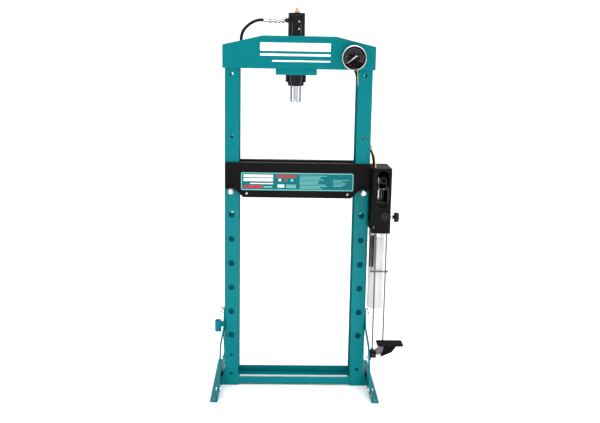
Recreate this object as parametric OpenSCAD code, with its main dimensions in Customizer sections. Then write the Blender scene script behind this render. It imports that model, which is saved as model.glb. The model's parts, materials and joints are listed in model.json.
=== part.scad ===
// Hydraulic shop press with a foot-operated pump: an H-frame of two channel columns, a
// pinned bed, a vertical cylinder under the header and a pump on the right-hand column.
// Origin: on the floor, midway between the columns. X to the right, Y to the rear, Z up.

/* [Frame] */
// Clear width between the two columns
throat_w = 500; // [460:5:520]
// Width of each column, left to right
column_w = 62; // [58:1:66]
// Depth of each column, front to back
column_d = 119; // [115:1:123]
// Wall thickness of the columns
column_t = 5; // [4:0.5:6]
// Height of the columns
column_h = 1495; // [1480:5:1500]
// Thickness of the header plates
header_t = 6; // [5:0.5:8]
// Underside of the header
header_z = 1404.5; // [1400:0.5:1408]
// Height of the header's ends
header_end_z = 1501; // [1498:0.5:1510]
// Height of the header's middle
header_top_z = 1540.5; // [1530:0.5:1550]
// Half the width of the header
header_half_w = 321.5; // [316:0.5:326]
// Half the width of the header's flat top
header_flat = 154; // [140:1:170]
// Half the length of each foot, front to back
foot_half_l = 254; // [240:1:270]

/* [Bed] */
// Height of the bed pins' centre line
pin_z = 889; // [885:1:893]
// Distance between rows of pin holes
row_pitch = 109; // [109:1:109]
// Rows of pin holes
row_count = 7; // [5:1:7]
// Radius of the bed pins
pin_r = 13; // [11:0.5:13]
// Thickness of the bed's sheet
bed_t = 6; // [5:0.5:7]
// Bed working height
bed_top_z = 1008; // [1000:1:1014]

/* [Cylinder and ram] */
// How far left of centre the cylinder stands
ram_offset = 12; // [0:1:20]
// Outer radius of the cylinder
barrel_r = 36.25; // [35.5:0.25:36.25]
// Bore radius of the cylinder
bore_r = 28; // [27:0.5:29]
// Radius of the ram rod
rod_r = 24.5; // [22:0.5:24.5]
// Height of the ram's nose at rest
nose_z = 1264; // [1258:1:1270]

/* [Pump and pedal] */
// Width of the pump housing
housing_w = 78; // [77:1:80]
// Depth of the pump housing
housing_d = 150; // [149:1:156]
// Radius of the oil bottle
bottle_r = 34; // [30:1:34]
// Width of the pedal
pedal_w = 113; // [95:1:120]
// Radius of the gauge's bezel
gauge_r = 52; // [50:0.5:54]

/* [Hidden] */
$fn = 48;
gap = 0.05;                      // running gap on radius between parts that fit each other
bolt_r = 5;                      // M10
bolt_hole_r = 5.4;
x_in = throat_w / 2;
x_out = x_in + column_w;
y_col = column_d / 2;
pin_x = x_in + 32;
ram_x = -ram_offset;
block_x = ram_x + 0.5;
block_w = 174;
block_z = 1379.5;
block_h = 50;
foot_x = x_out + 17;             // inner face of the foot's upright flange
foot_t = 4;
foot_w = 33;
foot_h = 55;
brace_t = 5;
brace_w = 32;
brace_low = [200, 38];           // distance from the middle, and height, of the lower bolt
brace_high = [28, 333];
brace_run = brace_low[0] - brace_high[0];
brace_rise = brace_high[1] - brace_low[1];
brace_l = sqrt(brace_run * brace_run + brace_rise * brace_rise);
brace_tilt = atan(brace_run / brace_rise);
bed_half_w = x_out - 2;
bed_y = y_col + 4.5;             // inner face of each bed beam
bed_low_z = 858;
bed_lug_z = 894;
bed_flange = 34;
spacer_x = 217;
spacer_z = 875;
gauge_x = 228;
gauge_z = 1454;
gauge_face_y = -y_col - header_t;
house_x = x_out + 6;
house_z = 722;
house_h = 277.5;
house_back = 30;
house_t = 3;
pump_x = 362;                    // plane in which the pump works
lever_y = -45;
lever_z = 900;
lever_arm = 59;
lever_tilt = 10;
plunger_y = -74.6;
pull_x = 388;
pull_y = -104;
pull_r = 3.25;
cross_z = 544;                   // cross pin that the return spring pulls on
spring_x = 325;
tie_x = 341;
tie_y = -114;
bottle_x = 351.5;
bottle_y = -62;
pivot_x = 342;                   // pedal's pivot
pivot_z = 178;
arm_y = -125;
pedal_reach = 47;
pedal_tilt = 12.5;
hose_r = 6.5;
line_r = 2.5;
steel = [0.62, 0.63, 0.65];
teal = [0.0, 0.51, 0.53];
black = [0.09, 0.09, 0.1];

// The hose's middle line, from the coupler, through the header and down the right column
hose_route = [
    [-152, 0, 1606], [-170, 0, 1605.5], [-187, 0, 1601], [-203, 0, 1593], [-218, 0, 1582],
    [-231, 0, 1569], [-240, 0, 1554], [-245, 1, 1537], [-246, 3, 1519], [-242, 7, 1501],
    [-231, 13, 1485], [-213, 21, 1472], [-189, 30, 1464], [-160, 38, 1461], [-128, 44, 1460],
    [-95, 47, 1460], [-60, 48, 1460], [-12, 48, 1460], [36, 48, 1460], [75, 46, 1460],
    [110, 43, 1459], [143, 38, 1457], [174, 32, 1453], [201, 25, 1446], [223, 17, 1432],
    [238, 10, 1413], [247, 6, 1391], [254, 4, 1367], [260, 3, 1342], [265, 3, 1315],
    [268, 3, 1285], [270, 3, 1252], [270, 3, 1219], [272, 2, 1189], [277, 0, 1161],
    [285, -3, 1136], [295, -8, 1114], [306, -14, 1093], [316, -21, 1072], [324, -29, 1050],
    [329, -37, 1026], [331, -43, 1001], [331.5, -46, 976], [331.5, -47, 950], [331.5, -47, 905]
];
// The gauge line's middle line, from the gauge's fitting to the pump block
line_route = [
    [228, -40, 1454], [228, -33, 1454], [230, -27, 1451], [235, -25, 1443], [242, -25, 1428],
    [248, -26, 1408], [251, -27, 1385], [253, -28, 1355], [256, -28, 1320], [258, -28, 1280],
    [259, -28, 1240], [261, -28, 1195], [267, -28, 1160], [277, -29, 1132], [290, -31, 1109], [304, -35, 1090],
    [316, -43, 1073], [323, -55, 1058], [327, -71, 1046], [329, -88, 1035], [330, -102, 1021],
    [330, -111, 1004], [330, -114, 985], [330, -112, 965], [331, -106, 944], [333, -97, 922],
    [335, -89, 900], [336, -85, 877], [336, -84, 850]
];

// ---------- helpers ----------

// Box from its low corner to its high corner
module block(low, high) { translate(low) cube(high - low); }

// Cylinder of radius r along X, from x1 to x2, at height z and depth y
module rod_x(x1, x2, y, z, r) {
    translate([x1, y, z]) rotate([0, 90, 0]) cylinder(h = x2 - x1, r = r);
}

// Cylinder of radius r along Y, from y1 to y2
module rod_y(y1, y2, x, z, r) {
    translate([x, y2, z]) rotate([90, 0, 0]) cylinder(h = y2 - y1, r = r);
}

// Cylinder of radius r along Z, from z1 to z2
module rod_z(z1, z2, x, y, r) { translate([x, y, z1]) cylinder(h = z2 - z1, r = r); }

// Ring along Z
module ring_z(z1, z2, x, y, r, hole) {
    difference() {
        rod_z(z1, z2, x, y, r);
        rod_z(z1 - 1, z2 + 1, x, y, hole);
    }
}

// Ring along Y
module ring_y(y1, y2, x, z, r, hole) {
    difference() {
        rod_y(y1, y2, x, z, r);
        rod_y(y1 - 1, y2 + 1, x, z, hole);
    }
}

// Outline in the XZ plane, given thickness from y1 to y2
module plate_xz(y1, y2, points) {
    translate([0, y2, 0]) rotate([90, 0, 0]) linear_extrude(y2 - y1) polygon(points);
}

// Hexagon along X, from x1 to x2, r from the centre to its corners
module hex_x(x1, x2, y, z, r) {
    translate([x1, y, z]) rotate([0, 90, 0]) cylinder(h = x2 - x1, r = r, $fn = 6);
}

// Hexagon along Y
module hex_y(y1, y2, x, z, r) {
    translate([x, y2, z]) rotate([90, 0, 0]) cylinder(h = y2 - y1, r = r, $fn = 6);
}

// Both sides of the press from one right-hand shape
module both_sides() {
    children();
    mirror([1, 0, 0]) children();
}

function unit(v) = v / norm(v);
// Direction of a route at point i
function heading(p, i) = unit(p[min(i + 1, len(p) - 1)] - p[max(i - 1, 0)]);
// A sideways direction for each ring, carried along the route so that the tube doesn't twist
function sideways(p, i) =
    let (h = heading(p, i),
         before = i > 0 ? sideways(p, i - 1) : abs(h[1]) < 0.5 ? [0, 1, 0] : [0, 0, 1])
    unit(before - (before * h) * h);

// Tube of radius r swept along a route
module tube_along(route, r, sides) {
    n = len(route);
    rings = [for (i = [0:n - 1])
        let (h = heading(route, i), u = sideways(route, i), v = cross(h, u))
        for (k = [0:sides - 1]) let (a = 360 * k / sides)
            route[i] + r * (cos(a) * u + sin(a) * v)];
    walls = [for (i = [0:n - 2]) for (k = [0:sides - 1])
        let (a = i * sides + k, b = i * sides + (k + 1) % sides)
        each [[a, b, b + sides], [a, b + sides, a + sides]]];
    first = [for (k = [0:sides - 1]) sides - 1 - k];
    last = [for (k = [0:sides - 1]) (n - 1) * sides + k];
    polyhedron(rings, concat([first], walls, [last]));
}

// ---------- frame ----------

// Channel section column, open towards the throat, with two gussets down to its foot
module column(small_holes) {
    difference() {
        block([x_in, -y_col, 0], [x_out, y_col, column_h]);
        block([x_in - 1, -y_col + column_t, -1],
              [x_out - column_t, y_col - column_t, column_h + 1]);
        for (row = [0:row_count - 1])
            rod_y(-y_col - 1, y_col + 1, pin_x, pin_z - row * row_pitch, pin_r + 0.3);
        for (z = small_holes) rod_y(-y_col - 1, y_col + 1, pin_x, z, 7);
        for (y = [-brace_high[0], brace_high[0]])
            rod_x(x_out - 10, x_out + 1, y, brace_high[1], bolt_hole_r);
    }
    for (y = [-y_col, y_col - 6])
        plate_xz(y, y + 6, [[x_out, 0], [foot_x, 0], [foot_x, 8], [x_out, 70]]);
}

module left_column() {
    color(teal) mirror([1, 0, 0]) column([1381, 1117, 142, 55]);
}

module right_column() {
    color(teal) difference() {
        column([1381, 1117, 77]);
        for (z = [790, 940]) rod_x(x_out - 10, x_out + 1, -30, z, bolt_hole_r);
        block([x_out - 10, -52, 1058], [x_out + 1, -5, 1110]);
    }
}

module header_plate() {
    rotate([90, 0, 0]) linear_extrude(header_t) polygon([
        [-header_half_w, header_z], [header_half_w, header_z],
        [header_half_w, header_end_z], [header_flat, header_top_z],
        [-header_flat, header_top_z], [-header_half_w, header_end_z]]);
}

module header_front_plate() {
    color(teal) difference() {
        translate([0, -y_col, 0]) header_plate();
        rod_y(-y_col - 10, -y_col + 1, gauge_x, gauge_z, 8);
    }
}

module header_rear_plate() { color(teal) translate([0, y_col + header_t, 0]) header_plate(); }

// Block between the header plates that carries the cylinder
module cylinder_block() {
    color(teal) difference() {
        block([block_x - block_w / 2, -y_col, block_z],
              [block_x + block_w / 2, y_col, block_z + block_h]);
        rod_z(block_z - 1, block_z + block_h + 1, ram_x, 0, barrel_r + 0.3);
    }
}

// Two angle bars that tie the columns' feet together
module base_bars() {
    reach = x_out - column_t - 2;
    inner = y_col - column_t;
    color(teal) {
        block([-reach, -inner, 6], [reach, -inner + 4, 38]);
        block([-reach, -inner, 6], [reach, -inner + 38, 10]);
        block([-reach, inner - 4, 20], [reach, inner, 52]);
        block([-reach, inner - 40, 20], [reach, inner, 24]);
    }
}

// Angle-section foot, its floor flange outwards, with a hole at each end for a floor anchor
module foot() {
    difference() {
        union() {
            block([foot_x, -foot_half_l, 0], [foot_x + foot_t, foot_half_l, foot_h]);
            block([foot_x, -foot_half_l, 0], [foot_x + foot_w, foot_half_l, foot_t]);
        }
        for (y = [-220, 220]) rod_z(-1, foot_t + 1, foot_x + 18, y, 6.5);
        for (y = [-brace_low[0], brace_low[0]])
            rod_x(foot_x - 1, foot_x + foot_t + 1, y, brace_low[1], bolt_hole_r);
    }
}

module left_foot() { color(teal) mirror([1, 0, 0]) foot(); }
module right_foot() { color(teal) foot(); }

// Flat bar from the foot's front end up to the column, bent twice so that both ends lie flat
module brace() {
    low_x = foot_x - brace_t;
    bend_1 = 190;
    bend_2 = 270;
    translate([0, -brace_low[0], brace_low[1]]) rotate([-brace_tilt, 0, 0]) difference() {
        intersection() {
            rotate([90, 0, 0]) linear_extrude(brace_w + 2, center = true) polygon([
                [low_x, -20], [low_x + brace_t, -20], [low_x + brace_t, bend_1],
                [x_out + brace_t, bend_2], [x_out + brace_t, brace_l + 20],
                [x_out, brace_l + 20], [x_out, bend_2], [low_x, bend_1]]);
            union() {
                block([x_out - 9, -brace_w / 2, 0], [foot_x + 9, brace_w / 2, brace_l]);
                for (s = [0, brace_l]) rod_x(x_out - 9, foot_x + 9, 0, s, brace_w / 2);
            }
        }
        for (s = [0, brace_l]) rod_x(x_out - 9, foot_x + 9, 0, s, bolt_hole_r);
    }
}

// Place of the bolt that holds the pedal's bracket to the right-hand front brace
pedal_bolt = [-125, 160];

module front_braces() {
    color(teal) {
        difference() {
            brace();
            rod_x(x_out, foot_x + 5, pedal_bolt[0], pedal_bolt[1], bolt_hole_r);
        }
        mirror([1, 0, 0]) brace();
    }
}

module rear_braces() { color(teal) both_sides() mirror([0, 1, 0]) brace(); }

// Bolts with their nuts: two for each brace, and one for the pedal's bracket
module brace_bolts() {
    color(steel) {
        both_sides() for (side = [-1, 1]) {
            low_y = side * brace_low[0];
            high_y = side * brace_high[0];
            hex_x(foot_x + foot_t, foot_x + foot_t + 7, low_y, brace_low[1], 9);
            rod_x(foot_x - 17, foot_x + foot_t + 1, low_y, brace_low[1], bolt_r);
            hex_x(foot_x - brace_t - 8, foot_x - brace_t, low_y, brace_low[1], 9);
            hex_x(x_out - column_t - 7, x_out - column_t, high_y, brace_high[1], 9);
            rod_x(x_out - column_t - 1, x_out + 22, high_y, brace_high[1], bolt_r);
            hex_x(x_out + brace_t, x_out + brace_t + 8, high_y, brace_high[1], 9);
        }
        hex_x(foot_x + 4, foot_x + 10, pedal_bolt[0], pedal_bolt[1], 8);
        rod_x(foot_x - 17, foot_x + 5, pedal_bolt[0], pedal_bolt[1], bolt_r);
        hex_x(foot_x - brace_t - 8, foot_x - brace_t, pedal_bolt[0], pedal_bolt[1], 9);
    }
}

// Upright tube welded to the left-hand front brace, where the pump's handle is kept
module handle_holder() {
    holder_x = -x_out - 28;
    holder_y = -60;
    color(teal) difference() {
        union() {
            rod_z(254, 304, holder_x, holder_y, 14);
            block([holder_x + 8, holder_y - 5, 276], [-x_out - brace_t, holder_y + 5, 298]);
        }
        rod_z(253, 305, holder_x, holder_y, 11);
    }
}

// ---------- cylinder ----------

barrel_z = 1350;
barrel_top = 1625;
port_z = 1606;

module cylinder_barrel() {
    color(black) difference() {
        rod_z(barrel_z, barrel_top, ram_x, 0, barrel_r);
        rod_z(barrel_z - 1, barrel_top + 1, ram_x, 0, bore_r);
        rod_x(ram_x - barrel_r - 2, ram_x, 0, port_z, 6);
        for (z = [1570, 1600])
            rod_y(-barrel_r - 2, -bore_r + 2, ram_x + 10, z, 3.05);
    }
}

// Cap on top of the barrel, with a spigot into the bore and a hole for the air nipple
module cylinder_cap() {
    color(black) difference() {
        union() {
            rod_z(barrel_top, barrel_top + 12, ram_x, 0, barrel_r);
            rod_z(barrel_top - 9, barrel_top + 1, ram_x, 0, bore_r - gap);
        }
        rod_z(barrel_top - 10, barrel_top + 13, ram_x + 1.5, 0, 5);
    }
}

// Slotted ring screwed on the barrel; notches around it take a hook spanner
module lock_ring(z1, z2, notches_down) {
    notch_z = notches_down ? z1 - 1 : z2 - 9;
    difference() {
        ring_z(z1, z2, ram_x, 0, 44.5, barrel_r + gap);
        for (a = [0:60:300])
            translate([ram_x, 0, notch_z]) rotate([0, 0, a + 15])
                translate([39.5, -4, 0]) cube([10, 8, 10]);
    }
}

module lower_lock_ring() { color(black) lock_ring(barrel_z - 1, block_z, true); }

module upper_lock_ring() {
    color(black) lock_ring(block_z + block_h, block_z + block_h + 20, false);
}

// Guide screwed into the barrel's foot; the ram's rod runs in it
module rod_gland() {
    color(black) difference() {
        union() {
            rod_z(1334, barrel_z, ram_x, 0, 35);
            rod_z(1345, barrel_z + 25, ram_x, 0, bore_r - gap);
        }
        rod_z(1333, barrel_z + 26, ram_x, 0, rod_r + gap);
    }
}

module air_nipple() {
    color([0.8, 0.62, 0.4]) {
        rod_z(1628, 1637, ram_x + 1.5, 0, 5 - gap);
        rod_z(1637, 1643, ram_x + 1.5, 0, 10);
        translate([ram_x + 1.5, 0, 1643]) cylinder(h = 8, r1 = 8.5, r2 = 6.5);
        rod_z(1651, 1660, ram_x + 1.5, 0, 4.5);
    }
}

// Two small screws in the barrel's front
module bleed_screws() {
    color(steel) for (z = [1570, 1600]) {
        rod_y(-barrel_r - 1.5, -barrel_r + 2.5, ram_x + 10, z, 3);
    }
}

module port_adapter() {
    x_wall = ram_x - barrel_r;
    color(black) {
        rod_x(x_wall - 0.3, x_wall + 7, 0, port_z, 6 - gap);
        translate([x_wall - 14, 0, port_z]) rotate([0, 90, 0]) cylinder(h = 13.7, r1 = 6, r2 = 11);
    }
}

coupler_x = ram_x - barrel_r - 14;

// The half of the coupler that stays on the cylinder
module coupler_plug() {
    color(steel) {
        hex_x(coupler_x - 12, coupler_x, 0, port_z, 11);
        rod_x(coupler_x - 19, coupler_x - 12, 0, port_z, 9);
    }
}

// The hose's half of the coupler, with its screwed collar
module coupler_body() {
    color(steel) {
        rod_x(coupler_x - 44, coupler_x - 19, 0, port_z, 12.5);
        rod_x(coupler_x - 54, coupler_x - 44, 0, port_z, 9.5);
        hex_x(coupler_x - 66, coupler_x - 54, 0, port_z, 11.5);
    }
}

// Crimped ferrules at the two ends of the hose
module hose_ferrules() {
    color(steel) {
        rod_x(hose_route[0][0], coupler_x - 66, 0, port_z, 8.5);
        foot_end = hose_route[len(hose_route) - 1];
        rod_z(850, 858, foot_end[0], foot_end[1], 8.5);
        rod_z(858, foot_end[2], foot_end[0], foot_end[1], 8);
    }
}

module hose() { color(black) tube_along(hose_route, hose_r, 12); }

// ---------- ram ----------

piston_z = 1560;
piston_h = 32;
rod_low = nose_z + 24;

module piston() {
    color(steel) difference() {
        rod_z(piston_z, piston_z + piston_h, ram_x, 0, bore_r - 0.08);
        rod_z(piston_z - 1, piston_z + piston_h + 1, ram_x, 0, 14);
        ring_z(piston_z + 10, piston_z + 20, ram_x, 0, bore_r + 1, 24);
    }
}

module piston_seal() {
    color(black) ring_z(piston_z + 10.2, piston_z + 19.8, ram_x, 0, bore_r - 0.03, 24 + gap);
}

// Hollow rod: the return spring lies inside it
module ram_rod() {
    color(steel) difference() {
        rod_z(rod_low, piston_z, ram_x, 0, rod_r);
        rod_z(rod_low + 14, piston_z + 1, ram_x, 0, 14);
        rod_z(rod_low - 1, rod_low + 15, ram_x, 0, 10);
    }
}

// Nose piece screwed into the rod, with a groove at the joint and cross slots in its face
module ram_head() {
    color(steel) difference() {
        union() {
            rod_z(nose_z + 2, rod_low - 2, ram_x, 0, rod_r);
            translate([ram_x, 0, nose_z]) cylinder(h = 2, r1 = rod_r - 2, r2 = rod_r);
            rod_z(rod_low - 3, rod_low, ram_x, 0, rod_r - 1.5);
            rod_z(rod_low - 1, rod_low + 12, ram_x, 0, 10 - gap);
        }
        for (a = [0, 90]) translate([ram_x, 0, nose_z - 1]) rotate([0, 0, a])
            translate([-30, -1.5, 0]) cube([60, 3, 4]);
    }
}

// Extension spring between the cap and the rod's foot, drawn as the sleeve that its coils fill
module return_spring() {
    color(steel) ring_z(rod_low + 15, barrel_top - 9, ram_x, 0, 11, 8.5);
}

// ---------- gauge ----------

module gauge_case() {
    back = gauge_face_y;
    color([0.8, 0.8, 0.82]) difference() {
        rod_y(back - 32.5, back, gauge_x, gauge_z, 47);
        rod_y(back - 33.5, back - 3, gauge_x, gauge_z, 44.6);
    }
}

module gauge_bezel() {
    back = gauge_face_y;
    color([0.8, 0.8, 0.82]) difference() {
        rod_y(back - 36.5, back - 22.5, gauge_x, gauge_z, gauge_r);
        rod_y(back - 32.5, back - 21.5, gauge_x, gauge_z, 47 + gap);
        rod_y(back - 37.5, back - 32, gauge_x, gauge_z, 44);
    }
}

module gauge_dial() {
    y = gauge_face_y - 17;
    color(black) ring_y(y, y + 1.2, gauge_x, gauge_z, 44.5, 1.6);
}

module gauge_lens() {
    y = gauge_face_y - 32.5;
    color([0.9, 0.95, 1, 0.3]) rod_y(y, y + 2, gauge_x, gauge_z, 44.4);
}

// Needle with its hub and arbor, pointing to zero at the lower left
module gauge_needle() {
    y = gauge_face_y - 17;
    color([0.9, 0.85, 0.7]) {
        rod_y(y - 5, y + 6, gauge_x, gauge_z, 1.5);
        rod_y(y - 6, y - 2, gauge_x, gauge_z, 4);
        translate([gauge_x, 0, gauge_z]) rotate([0, -39.5, 0]) {
            plate_xz(y - 4.5, y - 3, [[-36, -0.6], [8, -2], [8, 2], [-36, 0.6]]);
            rod_y(y - 4.5, y - 3, 11, 0, 4);
        }
    }
}

// Threaded fitting from the gauge's back through the header, with its nut
module gauge_fitting() {
    color([0.75, 0.6, 0.3]) {
        rod_y(-y_col - 6, -40, gauge_x, gauge_z, 6);
        hex_y(-y_col, -y_col + 9, gauge_x, gauge_z, 11);
    }
}

module gauge_line() { color([0.75, 0.6, 0.3]) tube_along(line_route, line_r, 8); }

// ---------- bed ----------

// Channel-section beam with flanges between the columns and a notch over each pin
module bed_beam() {
    difference() {
        union() {
            plate_xz(-bed_y - bed_t, -bed_y, [
                [-bed_half_w, bed_lug_z], [-268, bed_lug_z], [-232, bed_low_z],
                [232, bed_low_z], [268, bed_lug_z], [bed_half_w, bed_lug_z],
                [bed_half_w, bed_top_z], [-bed_half_w, bed_top_z]]);
            block([4 - x_in, -bed_y, bed_top_z - bed_t],
                  [x_in - 4, -bed_y + bed_flange, bed_top_z]);
            block([-226, -bed_y, bed_low_z], [226, -bed_y + bed_flange, bed_low_z + bed_t]);
        }
        for (x = [-pin_x, pin_x])
            rod_y(-bed_y - bed_t - 1, -bed_y + 1, x, pin_z, pin_r + 0.3);
        for (x = [-spacer_x, spacer_x])
            rod_y(-bed_y - bed_t - 1, -bed_y + 1, x, spacer_z, bolt_hole_r);
    }
}

module front_bed_beam() { color(black) bed_beam(); }
module rear_bed_beam() { color(black) mirror([0, 1, 0]) bed_beam(); }

// Tubes that hold the two beams apart
module bed_spacers() {
    color(black) for (x = [-spacer_x, spacer_x])
        ring_y(-bed_y, bed_y, x, spacer_z, 9, bolt_hole_r);
}

// Bolts through the beams and spacers, round heads at the front and nuts at the rear
module bed_bolts() {
    face = bed_y + bed_t;
    color(steel) for (x = [-spacer_x, spacer_x]) {
        rod_y(-face - 4, -face, x, spacer_z, 7);
        rod_y(-face - 1, face + 12, x, spacer_z, bolt_r);
        hex_y(face, face + 8, x, spacer_z, 9);
    }
}

// Blank plate on the front beam
module name_plate() {
    half_w = 242;
    low = 889;
    high = 967;
    corner = 7;
    y = -bed_y - bed_t;
    color([0.0, 0.5, 0.5]) translate([0, y, 0]) rotate([90, 0, 0]) linear_extrude(1.2) union() {
        translate([-half_w + corner, low]) square([2 * (half_w - corner), high - low]);
        translate([-half_w, low + corner]) square([2 * half_w, high - low - 2 * corner]);
        for (x = [-half_w + corner, half_w - corner], z = [low + corner, high - corner])
            translate([x, z]) circle(corner);
    }
}

// Pin with chamfered ends
module bed_pin() {
    front = 124;
    rear = 84;
    chamfer = 3;
    rod_y(chamfer - front, rear - chamfer, pin_x, pin_z, pin_r);
    for (end = [[chamfer - front, 90], [rear - chamfer, -90]])
        translate([pin_x, end[0], pin_z]) rotate([end[1], 0, 0])
            cylinder(h = chamfer, r1 = pin_r, r2 = pin_r - chamfer);
}

module left_bed_pin() { color(steel) mirror([1, 0, 0]) bed_pin(); }
module right_bed_pin() { color(steel) bed_pin(); }

// ---------- pump ----------

slot_x = 360.5;
slot_r = 24.5;
knob_y = -90;
knob_z = 783;
plug_x = 373;
plug_z = 797;

// Sheet-metal hood, open below, with the lever's slot in front and a stud for the spring
module pump_housing() {
    x2 = house_x + housing_w;
    z2 = house_z + house_h;
    color(black) {
        difference() {
            block([house_x, -housing_d, house_z], [x2, house_back, z2]);
            block([house_x + house_t, -housing_d + house_t, house_z - 1],
                  [x2 - house_t, house_back - house_t, z2 - house_t]);
            block([slot_x - slot_r, -housing_d - 1, 856], [slot_x + slot_r, -housing_d + 4, 965]);
            for (z = [856, 965]) rod_y(-housing_d - 1, -housing_d + 4, slot_x, z, slot_r);
            rod_y(-housing_d - 1, -housing_d + 4, plug_x, plug_z, 8.2);
            rod_x(x2 - 5, x2 + 1, knob_y, knob_z, 7);
            for (z = [790, 940]) rod_x(house_x - 1, house_x + 5, -30, z, bolt_hole_r);
            rod_z(z2 - 5, z2 + 1, 331.2, -43, 8.5);
            rod_z(z2 - 5, z2 + 1, 330, -111.5, 5);
        }
        rod_x(house_x + 1, 331, pull_y, 728, 3);
    }
}

// Plate between the column and the housing
module pump_bracket() {
    color(black) difference() {
        block([x_out, -56, 760], [house_x, -2, 970]);
        for (z = [790, 940]) rod_x(x_out - 1, house_x + 1, -30, z, bolt_hole_r);
    }
}

// Pump body: bores for the plunger and the release screw, two ears for the lever's pivot
module pump_block() {
    low_x = house_x + house_t;
    color([0.35, 0.36, 0.38]) difference() {
        union() {
            block([low_x, -95, 745], [383, -20, 850]);
            block([low_x, -122, 745], [383, -94, 757]);
            for (x = [350, 368]) {
                block([x, -58, 849], [x + 6, -32, 900]);
                rod_x(x, x + 6, lever_y, lever_z, 13);
            }
        }
        rod_z(780, 851, pump_x, plunger_y, 6.05);
        rod_x(372, 384, knob_y, knob_z, bolt_r + 0.06);
        rod_x(low_x - 1, low_x + 14, -30, 790, bolt_r + gap);
        rod_x(340, 384, lever_y, lever_z, bolt_r + gap);
    }
}

// Bolts through the column, bracket and housing; the lower one is screwed into the block
module pump_bolts() {
    color(steel) for (z = [790, 940]) {
        hex_x(x_out - column_t - 7, x_out - column_t, -30, z, 9);
        rod_x(x_out - column_t - 1, house_x + 15, -30, z, bolt_r);
    }
    color(steel) hex_x(house_x + house_t, house_x + house_t + 6, -30, 940, 8);
}

// Places children, drawn level about the lever's pivot, at the lever's rest angle
module on_lever() {
    translate([0, lever_y, lever_z]) rotate([-lever_tilt, 0, 0]) children();
}

// The lever's two side plates, with the plunger's pin and the pull rod's pin
module lever_plates() {
    side = [[8, -10], [8, 10], [-28, 46], [-66, 46], [-70, 20], [-66, -8], [-40, -10]];
    color(steel) on_lever() difference() {
        union() {
            for (x = [343, 377]) translate([x, 0, 0]) rotate([90, 0, 90])
                linear_extrude(4) polygon(side);
            rod_x(344, 380, -30, -2, 4);
            rod_x(378, 391.5, -lever_arm, 0, 4);
        }
        rod_x(340, 385, 0, 0, bolt_r + 0.08);
    }
}

// Socket for the pump's handle, welded between the side plates
module handle_socket() {
    h = 31;
    color(steel) on_lever() difference() {
        rod_y(-100, -40, pump_x, h, 15);
        rod_y(-101, -44, pump_x, h, 11);
    }
}

// The pump lever's pivot and the pedal's pivot
module pivot_pins() {
    color(steel) {
        rod_x(341, 383, lever_y, lever_z, bolt_r);
        rod_y(-143, -107, pivot_x, pivot_z, bolt_r);
    }
}

// Plunger with an eye at its top, wide enough for the lever's pin to swing in
module pump_plunger() {
    eye_z = 903.2;
    color(steel) difference() {
        union() {
            rod_z(795, eye_z - 6, pump_x, plunger_y, 6);
            rod_x(pump_x - 5, pump_x + 5, plunger_y, eye_z, 9);
        }
        rod_x(pump_x - 6, pump_x + 6, plunger_y, eye_z, 5.5);
    }
}

// Release screw with its lobed knob
module release_knob() {
    lobes = 5;
    color(black) {
        rod_x(375, 421, knob_y, knob_z, bolt_r);
        rod_x(411, 419, knob_y, knob_z, 8);
        rod_x(419, 439, knob_y, knob_z, 15);
        for (i = [0:lobes - 1]) let (a = 360 * i / lobes)
            rod_x(420, 438, knob_y + 15 * cos(a), knob_z + 15 * sin(a), 7.5);
    }
}

// Round cap in the housing's front
module front_plug() {
    color(black) {
        rod_y(-housing_d - 4, -housing_d, plug_x, plug_z, 20);
        rod_y(-housing_d - 1, -housing_d + 8, plug_x, plug_z, 8);
    }
}

// Clear oil bottle, rounded below, with a collar that screws into the pump body
module reservoir() {
    wall = 2.5;
    round_r = 10;
    low = 370;
    high = 718;
    color([0.92, 0.93, 0.93, 0.6]) translate([bottle_x, bottle_y, 0]) rotate_extrude()
    difference() {
        union() {
            translate([0, low + round_r]) square([bottle_r, high - low - round_r]);
            translate([0, low]) square([bottle_r - round_r, round_r + 1]);
            translate([bottle_r - round_r, low + round_r]) circle(round_r);
            translate([0, high - 1]) square([30, 746 - high]);
        }
        translate([0, low + wall]) square([bottle_r - round_r, high - low - 2 * wall]);
        translate([0, low + round_r]) square([bottle_r - wall, high - low - round_r - wall]);
        translate([0, high - 4]) square([30 - wall, 40]);
    }
}

// ---------- pedal linkage ----------

link_x = pivot_x + pedal_reach * cos(pedal_tilt);
link_z = pivot_z + pedal_reach * sin(pedal_tilt);

// Rod from the pedal to the pump lever, with an eye at each end and the spring's cross pin
module pull_rod() {
    top_y = -103.5;
    top_z = 910.2;
    color(steel) difference() {
        union() {
            rod_z(link_z + 8, top_z - 7, pull_x, pull_y, pull_r);
            rod_y(pull_y - 4, pull_y + 4, link_x + 0.5, link_z, 10);
            rod_x(pull_x - 3, pull_x + 3, top_y, top_z, 8.5);
            rod_x(321, 401, pull_y, cross_z, 3);
        }
        rod_y(pull_y - 5, pull_y + 5, link_x + 0.5, link_z, 6.8);
        rod_x(pull_x - 4, pull_x + 4, top_y, top_z, 5.8);
    }
}

// Extension spring, drawn as the sleeve that its coils fill, with a hook at each end
module pull_spring() {
    low = 566;
    high = 703;
    hook_r = 5.5;
    wire = 1.25;
    hooks = [[cross_z + 1, low], [727, high]];
    color([0.25, 0.25, 0.27]) {
        ring_z(low + 2, high - 2, spring_x, pull_y, 11, 8.5);
        for (z = [low, high - 2]) rod_z(z, z + 2, spring_x, pull_y, 11);
        for (h = hooks) {
            z = h[0];
            translate([spring_x, pull_y, z]) rotate([0, 90, 0]) rotate_extrude()
                translate([hook_r, 0]) circle(wire);
        }
        rod_z(cross_z + 1 + hook_r, low + 1, spring_x, pull_y, wire);
        rod_z(high - 1, 727 - hook_r, spring_x, pull_y, wire);
    }
}

// Fixed rod from the pump body down to the pedal's bracket
module tie_rod() { color(steel) rod_z(192, 745, tie_x, tie_y, pull_r); }

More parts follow.
